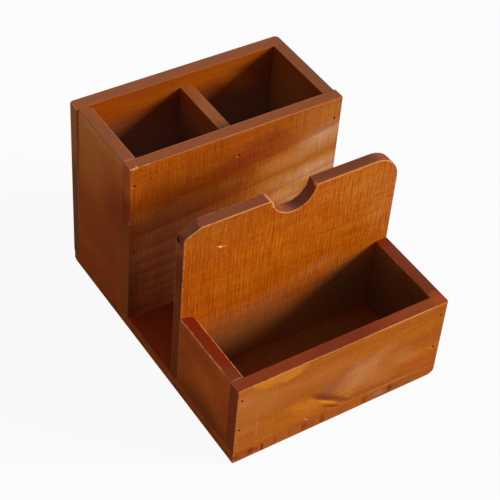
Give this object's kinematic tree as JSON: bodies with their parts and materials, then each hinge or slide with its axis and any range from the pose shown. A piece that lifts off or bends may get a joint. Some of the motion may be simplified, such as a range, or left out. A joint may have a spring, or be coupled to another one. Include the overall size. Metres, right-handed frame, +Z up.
{
  "type": "desk organiser",
  "caption": "Nailed pine desk organiser: open front tray with a notched tall back panel, an open slot behind it and a taller divided box at the rear.",
  "frame": {"origin": "middle of the base's underside, on the surface that the organiser stands on", "axes": "+X to the right across the front, +Y from the front tray towards the rear box, +Z up"},
  "size_m": [0.1529, 0.2008, 0.132],
  "materials": {
    "stained_pine": "orange-brown stain under a semi-gloss clear lacquer",
    "brad_steel": "dull darkened steel"
  },
  "bodies": {
    "root": {"base_board": "stained_pine", "tray_front_board": "stained_pine", "tray_left_side": "stained_pine", "tray_right_side": "stained_pine", "tall_panel": "stained_pine", "rear_front_board": "stained_pine", "rear_back_board": "stained_pine", "rear_left_side": "stained_pine", "rear_right_side": "stained_pine", "divider": "stained_pine", "tray_front_nails_left": "brad_steel", "tray_front_nails_right": "brad_steel", "tall_panel_nails_left": "brad_steel", "tall_panel_nails_right": "brad_steel", "rear_front_nails_left": "brad_steel", "rear_front_nails_right": "brad_steel", "rear_front_nails_divider": "brad_steel", "rear_back_nails_left": "brad_steel", "rear_back_nails_right": "brad_steel", "rear_back_nails_divider": "brad_steel", "base_nails_tray_front": "brad_steel", "base_nails_tall_panel": "brad_steel", "base_nails_rear_front": "brad_steel", "base_nails_rear_back": "brad_steel", "base_nails_tray_left": "brad_steel", "base_nails_tray_right": "brad_steel", "base_nails_rear_left": "brad_steel", "base_nails_rear_right": "brad_steel", "base_nails_divider": "brad_steel"}
  },
  "joints": []
}
